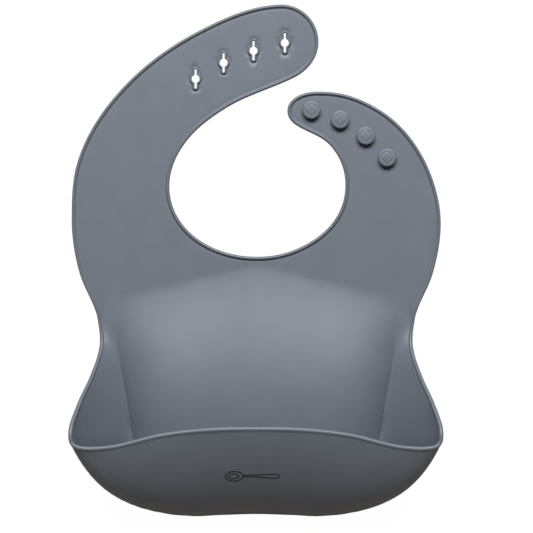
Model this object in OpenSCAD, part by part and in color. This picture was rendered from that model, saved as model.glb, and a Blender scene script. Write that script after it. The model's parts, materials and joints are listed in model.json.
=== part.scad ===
// Silicone baby bib, lying on its back: +Y points to the neck, +Z away from the wearer.
// The origin is on the resting plane, under the middle of the bib's bounding box. Sizes are in mm.
//
// The sheet is divided at its fold lines. Each fold is a living hinge: the outer piece ends in a round
// nose that turns about the middle of the sheet's thickness, and the inner piece stops just short of it.

/* [Sheet] */
// Thickness of the silicone sheet
sheet_t = 1.8; // [1.4:0.1:2.2]
// Width of the bead along every free edge
bead_w = 2.4; // [1.8:0.1:3]
// Height that the edge bead rises above the sheet
bead_rise = 1.2; // [0.6:0.1:1.6]

/* [Lower panel] */
// How far the lower panel bulges forward behind the pocket's opening
belly_rise = 14; // [6:1:18]

/* [Crumb pocket] */
// Extra height of the pocket rim over the standard 45 to 48 mm
rim_lift = 0; // [-6:1:8]
// Thickness of the lip on the pocket rim
lip_w = 2.6; // [2.2:0.1:3]

/* [Studs] */
// Diameter of a stud's head
stud_head_d = 11; // [9:0.5:12]
// Diameter of a stud's neck
stud_neck_d = 4.8; // [4:0.1:5.2]
// Height of a stud above the sheet
stud_h = 3.6; // [3:0.1:4.5]

/* [Keyholes] */
// Diameter of the round middle of a keyhole
keyhole_d = 4.8; // [4.6:0.1:5.4]
// Diameter of the small relief holes at its two ends
relief_d = 1.3; // [1.2:0.1:1.6]
// Distance from the middle of a keyhole to each relief hole
relief_reach = 5.2; // [4.8:0.1:5.6]
// Width of the raised collar around a keyhole
collar_w = 1.3; // [1.0:0.1:1.4]

/* [Hidden] */
eps = 0.01;
$fn = 64;

// Folds: the child's nose is centred on the fold line, the parent stops this far before it.
fold_gap = 1.3;
// Beads and collars stay this far from a fold line.
bead_stop = 1.8;
// The lower panel folds from the chest along this line.
waist_y = -8;

// The four studs and the four keyholes stand along two arcs.
stud_row_centre = [17, 14];
stud_row_r = 78.2;
stud_first_angle = 78;
stud_step = 13.45;

keyhole_row_centre = [42, -7.5];
keyhole_row_r = 141;
keyhole_first_angle = 100.1;
keyhole_step = 7.93;

SILICONE = [0.46, 0.49, 0.53];
SILICONE_EDGE = [0.52, 0.55, 0.59];

// ---------------------------------------------------------------- outline of the flat sheet

// The edge of the bib above the waist, as [x, y, heading in degrees], clockwise from the waist on
// the left. Each stretch between two stations is one smooth curve that leaves and arrives on heading.
STATIONS = [
    [-106.7, waist_y, 106],  // waist, left
    [-111.5, 24, 90],        // widest place of the chest
    [-108, 59.3, 73],        // long strap's root fold, outer end
    [-78.7, 106.2, 46],      // middle fold, outer end
    [-37.1, 137.2, 28],      // end fold, outer end
    [14.5, 154.4, 2],        // top of the long strap
    [37.6, 131, 268],        // its tip
    [22.5, 110, 206],        // below its tip
    [-18.7, 91.5, 212],      // end fold, inner end
    [-39.3, 75.2, 228],      // middle fold, inner end
    [-51.8, 51.5, 259],      // root fold, inner end
    [-47.8, 26.5, 299],      // round the neck
    [-24, 6.6, 338],
    [0.5, 2, 0],
    [24, 6.6, 23],
    [49, 26.9, 60],
    [53.8, 47.7, 93],        // short strap's root fold, inner end
    [43.4, 70.5, 136],       // its end fold, inner end
    [18.8, 90.5, 88],        // tip of the short strap
    [30, 101, 14],
    [42, 101.7, 358],
    [75.7, 90.1, 327],       // end fold, outer end
    [105.6, 51.6, 291],      // root fold, outer end
    [111.5, 22, 270],        // widest place of the chest
    [106.7, waist_y, 254]    // waist, right
];
WAIST_L = 0;
LONG_ROOT_OUT = 2;
LONG_MID_OUT = 3;
LONG_END_OUT = 4;
LONG_END_IN = 8;
LONG_MID_IN = 9;
LONG_ROOT_IN = 10;
SHORT_ROOT_IN = 16;
SHORT_END_IN = 17;
SHORT_END_OUT = 21;
SHORT_ROOT_OUT = 22;
WAIST_R = 24;
STEPS_PER_STRETCH = 8;

function station_xy(i) = [STATIONS[i][0], STATIONS[i][1]];
function unit_at(heading) = [cos(heading), sin(heading)];
function turn_between(a, b) = (b - a + 540) % 360 - 180;
function reversed(list) = [for (i = [len(list) - 1:-1:0]) list[i]];

// Length of a curve's handles, as a share of its chord, that keeps it close to an arc.
function handle_share(turn) = abs(turn) < 1 ? 1 / 3 : 2 / 3 * tan(abs(turn) / 4) / sin(abs(turn) / 2);

function bezier(p, t) =
    pow(1 - t, 3) * p[0] + 3 * t * pow(1 - t, 2) * p[1] + 3 * t * t * (1 - t) * p[2] + t * t * t * p[3];

function bezier_slope(p, t) =
    pow(1 - t, 2) * (p[1] - p[0]) + 2 * t * (1 - t) * (p[2] - p[1]) + t * t * (p[3] - p[2]);

function stretch_controls(i) =
    let (
        a = station_xy(i),
        b = station_xy(i + 1),
        reach = norm(b - a) * handle_share(turn_between(STATIONS[i][2], STATIONS[i + 1][2]))
    )
    [a, a + reach * unit_at(STATIONS[i][2]), b - reach * unit_at(STATIONS[i + 1][2]), b];

// A point of the edge, moved inward by inset.
function edge_point(i, t, inset) =
    let (
        controls = stretch_controls(i),
        slope = bezier_slope(controls, t)
    )
    bezier(controls, t) + inset * [slope[1], -slope[0]] / norm(slope);

// The edge from one station to another, moved inward by inset.
function edge(first, last, inset = 0) = [
    for (i = [first:last - 1])
        for (k = [0:STEPS_PER_STRETCH - (i == last - 1 ? 0 : 1)])
            edge_point(i, k / STEPS_PER_STRETCH, inset)
];

module sheet(points) {
    linear_extrude(sheet_t)
        polygon(points);
}

// A rib of the bead's section along one run of the edge, on top of the sheet.
module edge_rib(first, last) {
    translate([0, 0, sheet_t])
        linear_extrude(bead_rise)
            polygon(concat(edge(first, last), reversed(edge(first, last, bead_w))));
}

// ---------------------------------------------------------------- folds

// A round nose along the fold line from a to b, a hair thinner than the sheet that it ends.
module fold_nose(a, b) {
    along = b - a;
    inset = 1;
    translate([a[0], a[1], sheet_t / 2])
        rotate([0, 0, atan2(along[1], along[0])])
            rotate([0, 90, 0])
                translate([0, 0, inset])
                    cylinder(d = sheet_t - 0.1, h = norm(along) - 2 * inset);
}

// Clears a band beside the fold line from a to b: "before" is its width on the left of the line
// when looking from a to b, and "after" is its width on the right.
module fold_clear(a, b, before, after) {
    along = b - a;
    overrun = 6;
    height = 20;
    translate([a[0], a[1], -eps])
        rotate([0, 0, atan2(along[1], along[0])])
            translate([-overrun, -after, 0])
                cube([norm(along) + 2 * overrun, before + after, height]);
}

module clear_parent_of(inner, outer, side) {
    overshoot = 1;
    a = station_xy(inner);
    b = station_xy(outer);
    fold_clear(a, b, side > 0 ? fold_gap : overshoot, side > 0 ? overshoot : fold_gap);
}

module clear_bead_at(inner, outer) {
    fold_clear(station_xy(inner), station_xy(outer), bead_stop, bead_stop);
}

module waist_clear(above, below) {
    fold_clear(station_xy(WAIST_L), station_xy(WAIST_R), above, below);
}

// ---------------------------------------------------------------- keyholes and studs

function on_row(centre, r, angle) = centre + r * unit_at(angle);
function stud_xy(i) = on_row(stud_row_centre, stud_row_r, stud_first_angle - i * stud_step);
function keyhole_xy(i) = on_row(keyhole_row_centre, keyhole_row_r, keyhole_first_angle + i * keyhole_step);

// The opening's outline, grown by "grow": a round middle with a pointed slit to each relief hole.
module keyhole_cut(grow, h) {
    slit_half = 0.65;
    tip_half = relief_d / 2 - 0.12;
    cylinder(d = keyhole_d + 2 * grow, h = h);
    for (side = [-1, 1]) {
        translate([0, side * relief_reach, 0])
            cylinder(d = relief_d + 2 * grow, h = h);
        linear_extrude(h)
            polygon([
                [-slit_half - grow, side * keyhole_d / 4],
                [slit_half + grow, side * keyhole_d / 4],
                [tip_half + grow, side * relief_reach],
                [-tip_half - grow, side * relief_reach]
            ]);
    }
}

// A keyhole's opening, cut right through the sheet or the collar that it stands in.
module keyhole_through() {
    translate([0, 0, -sheet_t])
        keyhole_cut(0, 4 * sheet_t);
}

module keyholes(first, last) {
    for (i = [first:last])
        translate([keyhole_xy(i)[0], keyhole_xy(i)[1], 0])
            keyhole_through();
}

module keyhole_collar(i) {
    color(SILICONE_EDGE)
        translate([keyhole_xy(i)[0], keyhole_xy(i)[1], sheet_t])
            difference() {
                keyhole_cut(collar_w, bead_rise);
                keyhole_through();
            }
}

module stud(i) {
    head_t = 1.9;
    round_r = 0.7;
    mark_side = 4.6;
    mark_rise = 0.4;
    color(SILICONE_EDGE)
        translate([stud_xy(i)[0], stud_xy(i)[1], sheet_t]) {
            rotate_extrude()
                polygon([
                    [0, 0],
                    [stud_neck_d / 2, 0],
                    [stud_neck_d / 2, stud_h - head_t],
                    [stud_head_d / 2, stud_h - head_t],
                    [stud_head_d / 2, stud_h - round_r],
                    [stud_head_d / 2 - round_r, stud_h],
                    [0, stud_h]
                ]);
            translate([0, 0, stud_h])
                rotate([0, 0, 45])
                    translate([-mark_side / 2, -mark_side / 2, -eps])
                        cube([mark_side, mark_side, mark_rise + eps]);
        }
}

// ---------------------------------------------------------------- curved panel and pocket

// The pocket is lofted over ribs, from the waist on the right round to the middle of the front.
// Each rib is [foot x, foot y], the fillet's reach, [shoulder x, y, z], [rim x, y, z].
RIBS = [
    [[91.5, -33.4], 1.0, [93.5, -33.9, 1.4], [96, -34.5, 1.5]],
    [[86, -50], 2, [90, -51, 2.4], [93.6, -52, 5.5]],
    [[82, -67], 2, [90.5, -68, 8], [97.2, -69, 17.5]],
    [[78, -86], 2, [94.5, -86, 17], [103.2, -84.5, 32]],
    [[75, -106], 3, [101, -106.5, 27], [107.4, -100, 44]],
    [[70, -127], 17, [100.5, -131.5, 30], [104, -110, 45.5]],
    [[57, -143], 12, [89.5, -147, 32.5], [84, -110.2, 46]],
    [[40, -149], 12, [54, -146, 33], [55, -103.4, 47]],
    [[20, -149], 11.5, [28, -141, 34.5], [28, -100.2, 48]],
    [[0, -149], 11, [0, -137, 35.5], [0, -99.5, 48]]
];
LAST_RIB = len(RIBS) - 1;
CHORD_RIB = 7;
STEPS_PER_RIB = 4;
WALL_STEPS = 8;
PANEL_COLUMNS = 2 * (LAST_RIB - CHORD_RIB) * STEPS_PER_RIB + 2;

// The bulge: the line where it is highest, the middle of its upper limit, how far that limit falls
// towards the sides and how round its top is, its half-width on the x axis and how fast that narrows
// towards the foot, how gently it starts, how fast it falls beyond its highest line, and how sharply it
// ends at the side creases.
crest_y = -90;
bulge_top = -4;
bulge_slant = 0.25;
bulge_round = 8;
crease_half = 96;
crease_taper = 0.2;
bulge_ease = 1.25;
bulge_fall_rate = 1.1;
crease_sharpness = 6;

// Half-width of the lower panel between its side creases.
function crease_x(y) = crease_half + crease_taper * y;

// Upper limit of the bulge: a shallow inverted V with a round top.
function bulge_top_y(x) =
    bulge_top - bulge_slant * (sqrt(x * x + bulge_round * bulge_round) - bulge_round);

// Height of the bulge over the flat sheet. It climbs to the crest and falls again towards the foot.
function bulge(x, y) =
    let (
        down = max(0, (bulge_top_y(x) - y) / (bulge_top_y(x) - crest_y)),
        climbed = pow(min(1, down), bulge_ease),
        fallen = bulge_fall_rate * max(0, down - 1),
        across = min(1, abs(x) / crease_x(y))
    )
    belly_rise * sin(90 * (climbed + fallen)) * (1 - pow(across, crease_sharpness));

// Smooth curve through a list of points; p counts points from 0. mirror_end makes the far end flat
// across x = 0, because the list goes on there as its own mirror image.
function list_at(list, i) =
    i < 0 ? 2 * list[0] - list[1] :
    i < len(list) ? list[i] :
    let (m = list[2 * (len(list) - 1) - i]) [for (k = [0:len(m) - 1]) k == 0 ? -m[k] : m[k]];

function curve_through(list, p) =
    let (
        i = min(floor(p), len(list) - 2),
        t = p - i,
        a = list_at(list, i - 1),
        b = list_at(list, i),
        c = list_at(list, i + 1),
        d = list_at(list, i + 2)
    )
    b + t / 2 * ((c - a) + t * ((2 * a - 5 * b + 4 * c - d) + t * (3 * b - a - 3 * c + d)));

// One list for each part of the ribs. The reaches are held as [0, reach], so that curve_through can
// mirror them like the points.
FEET = [for (rib = RIBS) rib[0]];
SHOULDERS = [for (rib = RIBS) rib[2]];
full_lift_z = 45;
RIMS = [for (rib = RIBS) rib[3] + [0, 0, rim_lift * min(1, rib[3][2] / full_lift_z)]];
REACHES = [for (rib = RIBS) [0, rib[1]]];

// The foot runs round the lower corners, and is straight between them.
function foot_xy(p) =
    p >= CHORD_RIB ?
        [FEET[CHORD_RIB][0] * (LAST_RIB - p) / (LAST_RIB - CHORD_RIB), FEET[CHORD_RIB][1]] :
        curve_through([for (i = [0:CHORD_RIB]) FEET[i]], p);

// Direction out of the bib, square to the foot.
function foot_outward(p) =
    let (
        d = 0.02,
        ahead = foot_xy(min(LAST_RIB, p + d)),
        behind = foot_xy(max(0, p - d)),
        run = ahead - behind
    )
    [-run[1], run[0]] / norm(run);

// The same, evened out over the ribs on both sides.
function outward_blend(p) =
    let (
        spread = 0.75,
        before = foot_outward(max(0, p - spread)),
        after = foot_outward(min(LAST_RIB, p + spread)),
        sum = before + foot_outward(p) + after
    )
    sum / norm(sum);

// Mid-thickness point of the right half of the wall: p runs along it, t from foot to rim.
function half_wall_point(p, t) =
    let (
        foot = foot_xy(p),
        z = sheet_t / 2 + bulge(foot[0], foot[1]),
        reach = curve_through(REACHES, p)[1] * outward_blend(p),
        base = [foot[0], foot[1], z],
        fillet = [foot[0] + reach[0], foot[1] + reach[1], z]
    )
    bezier([base, fillet, curve_through(SHOULDERS, p), curve_through(RIMS, p)], t);

// The whole wall, from the waist on the left (u = 0) to the waist on the right (u = 1).
function wall_point(u, t) =
    let (
        p = LAST_RIB * (1 - abs(2 * u - 1)),
        q = half_wall_point(p, t)
    )
    u < 0.5 ? [-q[0], q[1], q[2]] : q;

function cross_unit(a, b) = let (n = cross(a, b)) n / norm(n);

// Unit normal of the wall, up at the foot and into the pocket above it.
function wall_normal(u, t) =
    let (
        d = 0.002,
        u0 = max(0, u - d),
        u1 = min(1, u + d),
        t0 = max(0, t - d),
        t1 = min(1, t + d)
    )
    cross_unit(wall_point(u, t1) - wall_point(u, t0), wall_point(u1, t) - wall_point(u0, t));

// The wall's thickness starts upright at the foot, where it meets the panel, and follows the
// surface's own normal from this share of the way up.
upright_share = 0.25;
function wall_side(u, t, side) =
    let (
        w = min(1, t / upright_share),
        n = (1 - w) * [0, 0, 1] + w * wall_normal(u, t)
    )
    wall_point(u, t) + side * sheet_t / 2 * n / norm(n);

// A closed slab between two grids of points of the same size. Seen from outside, each row of the
// face has the next row on its right.
module slab(face, back) {
    rows = len(face);
    cols = len(face[0]);
    count = rows * cols;
    points = concat([for (row = face) each row], [for (row = back) each row]);
    function at(r, c) = r * cols + c;
    faces = concat(
        [for (r = [0:rows - 2]) for (c = [0:cols - 2]) each [
            [at(r, c), at(r + 1, c + 1), at(r + 1, c)],
            [at(r, c), at(r, c + 1), at(r + 1, c + 1)],
            [count + at(r, c), count + at(r + 1, c), count + at(r + 1, c + 1)],
            [count + at(r, c), count + at(r + 1, c + 1), count + at(r, c + 1)]
        ]],
        [for (r = [0:rows - 2]) each [
            [at(r, 0), count + at(r + 1, 0), count + at(r, 0)],
            [at(r, 0), at(r + 1, 0), count + at(r + 1, 0)],
            [at(r, cols - 1), count + at(r, cols - 1), count + at(r + 1, cols - 1)],
            [at(r, cols - 1), count + at(r + 1, cols - 1), at(r + 1, cols - 1)]
        ]],
        [for (c = [0:cols - 2]) each [
            [at(0, c), count + at(0, c), count + at(0, c + 1)],
            [at(0, c), count + at(0, c + 1), at(0, c + 1)],
            [at(rows - 1, c), count + at(rows - 1, c + 1), count + at(rows - 1, c)],
            [at(rows - 1, c), at(rows - 1, c + 1), count + at(rows - 1, c + 1)]
        ]]
    );
    polyhedron(points, faces);
}

// Edge of the lower panel on the right, from just under the waist fold to the first rib, or between
// two shares of that way. It is moved inward by inset.
SIDE_STEPS = 6;
side_top = [106.3, waist_y - fold_gap, 253];
side_foot_heading = 256;
function side_edge(inset = 0, first = 0, last = 1) =
    let (
        a = [side_top[0], side_top[1]],
        b = [RIMS[0][0], RIMS[0][1]],
        reach = norm(b - a) / 3,
        controls = [a, a + reach * unit_at(side_top[2]), b - reach * unit_at(side_foot_heading), b]
    )
    [for (k = [0:SIDE_STEPS])
        let (
            t = first + (last - first) * k / SIDE_STEPS,
            slope = bezier_slope(controls, t)
        )
        bezier(controls, t) + inset * [slope[1], -slope[0]] / norm(slope)];

// Half-width and place of each cross row of the lower panel. The side bead's inner edge leads into
// the foot of the pocket wall.
function panel_rows() =
    let (side = side_edge())
    concat(
        [for (k = [0:SIDE_STEPS - 1]) side[k]],
        [for (k = [0:CHORD_RIB * STEPS_PER_RIB]) foot_xy(k / STEPS_PER_RIB)]
    );

// Place across the panel of column c in a row of the given half-width. The first and last columns are
// just wide enough to carry the side beads.
function panel_x(half, c) =
    c == 0 ? -half :
    c == PANEL_COLUMNS ? half :
    (half - bead_w - 0.6) * (2 * (c - 1) / (PANEL_COLUMNS - 2) - 1);

function panel_grid(z_offset) = [
    for (row = panel_rows()) [
        for (c = [0:PANEL_COLUMNS])
            let (x = panel_x(row[0], c))
            [x, row[1], sheet_t / 2 + bulge(x, row[1]) + z_offset]
    ]
];

// Stretch of wall between two values of u.
WALL_STATIONS = 2 * LAST_RIB * STEPS_PER_RIB;
function wall_grid(first, last, side) = [
    for (s = [first:last]) [
        for (k = [0:WALL_STEPS]) wall_side(s / WALL_STATIONS, k / WALL_STEPS, side)
    ]
];

module wall_stretch(first, last) {
    slab(wall_grid(first, last, -1), wall_grid(first, last, 1));
}

CORNER_STATION = 5 * STEPS_PER_RIB;
LIP_START = 2;

// Lip: a thicker rail that carries the rim on past the wall's end, on both sides of it.
// lip_frame gives a point of the rim, the wall's normal there and the direction on up the wall.
function lip_frame(u) =
    let (
        near_rim = 0.96,
        rim = wall_point(u, 1),
        up = rim - wall_point(u, near_rim)
    )
    [rim, wall_normal(u, 1), up / norm(up)];

LIP_SIDES = 8;
function lip_ring(u) =
    let (
        f = lip_frame(u),
        r = lip_w / 2
    )
    [for (k = [0:LIP_SIDES - 1])
        let (a = 360 * (k + 0.5) / LIP_SIDES)
        f[0] + (r + 2 * eps) * f[2] + r * (cos(a) * f[1] + sin(a) * f[2])];

module lip_stretch(first, last) {
    rings = [for (s = [first:last]) lip_ring(s / WALL_STATIONS)];
    rows = len(rings);
    function at(r, k) = r * LIP_SIDES + k % LIP_SIDES;
    polyhedron(
        [for (ring = rings) each ring],
        concat(
            [[for (k = [0:LIP_SIDES - 1]) at(0, k)]],
            [[for (k = [LIP_SIDES - 1:-1:0]) at(rows - 1, k)]],
            [for (r = [0:rows - 2]) for (k = [0:LIP_SIDES - 1]) each [
                [at(r, k), at(r + 1, k), at(r + 1, k + 1)],
                [at(r, k), at(r + 1, k + 1), at(r, k + 1)]
            ]]
        )
    );
}

// ---------------------------------------------------------------- sub-parts

module lower_panel() {
    color(SILICONE)
        slab(panel_grid(sheet_t / 2), panel_grid(-sheet_t / 2));
}

// The side beads start clear of the folded chest and stop a hair before the first rib.
module lower_panel_side_beads() {
    first = 1 / SIDE_STEPS;
    last = 0.98;
    points = concat(side_edge(0, first, last), reversed(side_edge(bead_w, first, last)));
    color(SILICONE_EDGE)
        for (side = [-1, 1])
            translate([0, 0, sheet_t])
                linear_extrude(bead_rise)
                    polygon([for (p = points) [side * p[0], p[1]]]);
}

module chest_panel() {
    color(SILICONE) {
        difference() {
            sheet(concat(
                edge(WAIST_L, LONG_ROOT_OUT),
                edge(LONG_ROOT_IN, SHORT_ROOT_IN),
                edge(SHORT_ROOT_OUT, WAIST_R)
            ));
            clear_parent_of(LONG_ROOT_IN, LONG_ROOT_OUT, 1);
            clear_parent_of(SHORT_ROOT_IN, SHORT_ROOT_OUT, -1);
        }
        fold_nose(station_xy(WAIST_L), station_xy(WAIST_R));
    }
}

module chest_outer_beads() {
    color(SILICONE_EDGE)
        difference() {
            union() {
                edge_rib(WAIST_L, LONG_ROOT_OUT);
                edge_rib(SHORT_ROOT_OUT, WAIST_R);
            }
            waist_clear(bead_stop, bead_stop);
            clear_bead_at(LONG_ROOT_IN, LONG_ROOT_OUT);
            clear_bead_at(SHORT_ROOT_IN, SHORT_ROOT_OUT);
        }
}

module neck_bead() {
    color(SILICONE_EDGE)
        difference() {
            edge_rib(LONG_ROOT_IN, SHORT_ROOT_IN);
            clear_bead_at(LONG_ROOT_IN, LONG_ROOT_OUT);
            clear_bead_at(SHORT_ROOT_IN, SHORT_ROOT_OUT);
        }
}

module long_strap_root() {
    color(SILICONE) {
        difference() {
            sheet(concat(edge(LONG_ROOT_OUT, LONG_MID_OUT), edge(LONG_MID_IN, LONG_ROOT_IN)));
            clear_parent_of(LONG_MID_IN, LONG_MID_OUT, 1);
        }
        fold_nose(station_xy(LONG_ROOT_IN), station_xy(LONG_ROOT_OUT));
    }
}

module long_strap_root_beads() {
    color(SILICONE_EDGE)
        difference() {
            union() {
                edge_rib(LONG_ROOT_OUT, LONG_MID_OUT);
                edge_rib(LONG_MID_IN, LONG_ROOT_IN);
            }
            clear_bead_at(LONG_ROOT_IN, LONG_ROOT_OUT);
            clear_bead_at(LONG_MID_IN, LONG_MID_OUT);
        }
}

module long_strap_middle() {
    color(SILICONE) {
        difference() {
            sheet(concat(edge(LONG_MID_OUT, LONG_END_OUT), edge(LONG_END_IN, LONG_MID_IN)));
            clear_parent_of(LONG_END_IN, LONG_END_OUT, 1);
            keyholes(3, 3);
        }
        fold_nose(station_xy(LONG_MID_IN), station_xy(LONG_MID_OUT));
    }
}

module long_strap_middle_beads() {
    color(SILICONE_EDGE)
        difference() {
            union() {
                edge_rib(LONG_MID_OUT, LONG_END_OUT);
                edge_rib(LONG_END_IN, LONG_MID_IN);
            }
            clear_bead_at(LONG_MID_IN, LONG_MID_OUT);
            clear_bead_at(LONG_END_IN, LONG_END_OUT);
        }
}

module long_strap_end() {
    color(SILICONE) {
        difference() {
            sheet(edge(LONG_END_OUT, LONG_END_IN));
            keyholes(0, 2);
        }
        fold_nose(station_xy(LONG_END_IN), station_xy(LONG_END_OUT));
    }
}

module long_strap_end_bead() {
    color(SILICONE_EDGE)
        difference() {
            edge_rib(LONG_END_OUT, LONG_END_IN);
            clear_bead_at(LONG_END_IN, LONG_END_OUT);
        }
}

module short_strap_root() {
    color(SILICONE) {
        difference() {
            sheet(concat(edge(SHORT_ROOT_IN, SHORT_END_IN), edge(SHORT_END_OUT, SHORT_ROOT_OUT)));
            clear_parent_of(SHORT_END_IN, SHORT_END_OUT, -1);
        }
        fold_nose(station_xy(SHORT_ROOT_IN), station_xy(SHORT_ROOT_OUT));
    }
}

module short_strap_root_beads() {
    color(SILICONE_EDGE)
        difference() {
            union() {
                edge_rib(SHORT_ROOT_IN, SHORT_END_IN);
                edge_rib(SHORT_END_OUT, SHORT_ROOT_OUT);
            }
            clear_bead_at(SHORT_ROOT_IN, SHORT_ROOT_OUT);
            clear_bead_at(SHORT_END_IN, SHORT_END_OUT);
        }
}

module short_strap_end() {
    color(SILICONE) {
        sheet(edge(SHORT_END_IN, SHORT_END_OUT));
        fold_nose(station_xy(SHORT_END_IN), station_xy(SHORT_END_OUT));
    }
}

module short_strap_end_bead() {
    color(SILICONE_EDGE)
        difference() {
            edge_rib(SHORT_END_IN, SHORT_END_OUT);
            clear_bead_at(SHORT_END_IN, SHORT_END_OUT);
        }
}

module pocket_left_wall() {
    color(SILICONE)
        wall_stretch(0, CORNER_STATION);
}

module pocket_front_wall() {
    color(SILICONE)
        wall_stretch(CORNER_STATION, WALL_STATIONS - CORNER_STATION);
}

module pocket_right_wall() {
    color(SILICONE)
        mirror([1, 0, 0])
            wall_stretch(0, CORNER_STATION);
}

module pocket_left_lip() {
    color(SILICONE_EDGE)
        lip_stretch(LIP_START, CORNER_STATION);
}

module pocket_front_lip() {
    color(SILICONE_EDGE)
        lip_stretch(CORNER_STATION, WALL_STATIONS - CORNER_STATION);
}

module pocket_right_lip() {
    color(SILICONE_EDGE)
        mirror([1, 0, 0])
            lip_stretch(LIP_START, CORNER_STATION);
}

lower_panel();
lower_panel_side_beads();
chest_panel();
chest_outer_beads();
neck_bead();
long_strap_root();
long_strap_root_beads();
long_strap_middle();
long_strap_middle_beads();
long_strap_end();
long_strap_end_bead();
short_strap_root();
short_strap_root_beads();
short_strap_end();
short_strap_end_bead();
keyhole_collar(0);  // keyhole_collar_1
keyhole_collar(1);  // keyhole_collar_2
keyhole_collar(2);  // keyhole_collar_3
keyhole_collar(3);  // keyhole_collar_4
stud(0);  // stud_1
stud(1);  // stud_2
stud(2);  // stud_3
stud(3);  // stud_4
pocket_left_wall();
pocket_front_wall();
pocket_right_wall();
pocket_left_lip();
pocket_front_lip();
pocket_right_lip();
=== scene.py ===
"""A silicone baby bib on a pale floor, seen from above.

The bib is one moulded skin. It is worked out here as a middle surface with a top and an underside, over
the whole bib at once, and then cut into closed pieces along the lines where the CAD divides it. Short
pieces across the fold lines are left where they are made, on no body; all the others are carried by their
bodies. Lengths are in mm until a mesh is made.
"""

import json
import math

import bpy
import numpy as np
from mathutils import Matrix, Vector
from mathutils.geometry import delaunay_2d_cdt


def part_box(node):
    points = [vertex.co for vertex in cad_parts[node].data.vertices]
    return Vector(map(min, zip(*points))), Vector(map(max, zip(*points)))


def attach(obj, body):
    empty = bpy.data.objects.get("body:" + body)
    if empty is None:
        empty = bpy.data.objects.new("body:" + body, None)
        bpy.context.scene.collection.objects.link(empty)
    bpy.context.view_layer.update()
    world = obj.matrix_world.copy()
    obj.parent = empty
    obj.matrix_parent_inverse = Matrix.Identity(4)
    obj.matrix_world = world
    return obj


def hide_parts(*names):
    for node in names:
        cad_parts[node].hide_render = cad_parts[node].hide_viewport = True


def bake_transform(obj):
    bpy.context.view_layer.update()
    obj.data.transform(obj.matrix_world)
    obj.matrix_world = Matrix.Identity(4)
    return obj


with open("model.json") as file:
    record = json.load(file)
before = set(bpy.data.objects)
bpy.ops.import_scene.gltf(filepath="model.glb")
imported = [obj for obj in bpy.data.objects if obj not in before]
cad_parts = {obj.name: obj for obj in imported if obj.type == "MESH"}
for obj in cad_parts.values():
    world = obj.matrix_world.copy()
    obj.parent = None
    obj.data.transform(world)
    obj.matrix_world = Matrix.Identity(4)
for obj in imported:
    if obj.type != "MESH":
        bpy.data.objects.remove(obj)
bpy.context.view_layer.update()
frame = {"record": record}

MM = 0.001


def node_box(name):
    """Lowest and highest corner of a CAD node, in mm."""
    lo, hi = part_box(name)
    return np.array(lo) / MM, np.array(hi) / MM


def node_centre(name):
    """Middle of a CAD node, seen from above, in mm."""
    lo, hi = node_box(name)
    return ((lo + hi) / 2)[:2]


SHEET_T = node_box("chest_panel")[1][2]
BEAD_TOP = node_box("neck_bead")[1][2]
HALF_T = SHEET_T / 2

STUDS = [f"stud_{i}" for i in range(1, 5)]
COLLARS = [f"keyhole_collar_{i}" for i in range(1, 5)]

# ------------------------------------------------------------------------------------ outline

# The free edge, clockwise from the pocket on the left, over the straps, to the pocket on the right. Each
# row is x, y and heading in degrees.
WAIST_Y = -8
POCKET_TOP = (96, -34.5)
EDGE = [
    (-POCKET_TOP[0], POCKET_TOP[1], 103.6),
    (-106.7, WAIST_Y, 106),
    (-111.5, 24, 90),
    (-108, 59.3, 73),  # root fold of the long strap, outer end
    (-78.7, 106.2, 46),  # its middle fold
    (-37.1, 137.2, 28),  # its end fold
    (14.5, 154.4, 2),
    (37.6, 131, 268),  # tip of the long strap
    (22.5, 110, 206),
    (-18.7, 91.5, 212),  # end fold, inner end
    (-39.3, 75.2, 228),  # middle fold
    (-51.8, 51.5, 259),  # root fold
    (-47.8, 26.5, 299),
    (-24, 6.6, 338),
    (0.5, 2, 0),  # middle of the neck opening
    (24, 6.6, 23),
    (49, 26.9, 60),
    (53.8, 47.7, 93),  # root fold of the short strap, inner end
    (43.4, 70.5, 136),  # its end fold
    (18.8, 90.5, 88),  # tip of the short strap
    (30, 101, 14),
    (42, 101.7, 358),
    (75.7, 90.1, 327),  # end fold, outer end
    (105.6, 51.6, 291),  # root fold
    (111.5, 22, 270),
    (106.7, WAIST_Y, 254),
    (POCKET_TOP[0], POCKET_TOP[1], 256.4),
]
EDGE_STEP = 1.8

# Where the skin's rows run, measured inward from the free edge. One of them is the groove beside the bead.
ROWS = np.array([0, 0.07, 0.2, 0.4, 0.65, 0.95, 1.2, 1.5, 1.8, 2.1, 2.45, 2.9, 3.4])
GROOVE_ROW = 10
BAND = ROWS[-1]
# And beside the foot of the pocket wall, where the panel drops steeply into a crease.
FOOT_ROWS = (1.0, 2.1, 3.4, 4.9, 6.6, 8.5)

# Folds: inner and outer end, half the width of the strip that bends, parent and child body.
FOLDS = {
    "long_strap_fold": ((-51.8, 51.5), (-108, 59.3), 8, "chest", "long_strap_1"),
    "long_strap_middle_fold": ((-39.3, 75.2), (-78.7, 106.2), 8, "long_strap_1", "long_strap_2"),
    "long_strap_end_fold": ((-18.7, 91.5), (-37.1, 137.2), 5, "long_strap_2", "long_strap_3"),
    "short_strap_fold": ((53.8, 47.7), (105.6, 51.6), 6, "chest", "short_strap_1"),
    "short_strap_end_fold": ((43.4, 70.5), (75.7, 90.1), 5, "short_strap_1", "short_strap_2"),
    "waist_fold": ((-106.7, WAIST_Y), (106.7, WAIST_Y), 6, "lower_bib", "chest"),
}


def unit(v):
    """The same directions, with length 1."""
    v = np.asarray(v, float)
    return v / np.linalg.norm(v, axis=-1, keepdims=True)


def left_of(v):
    """The same directions in the plane, turned a quarter turn anticlockwise."""
    return np.stack([-v[..., 1], v[..., 0]], -1)


def smooth(x):
    """Ease from 0 at x = 0 to 1 at x = 1."""
    x = np.clip(x, 0, 1)
    return x * x * (3 - 2 * x)


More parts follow.
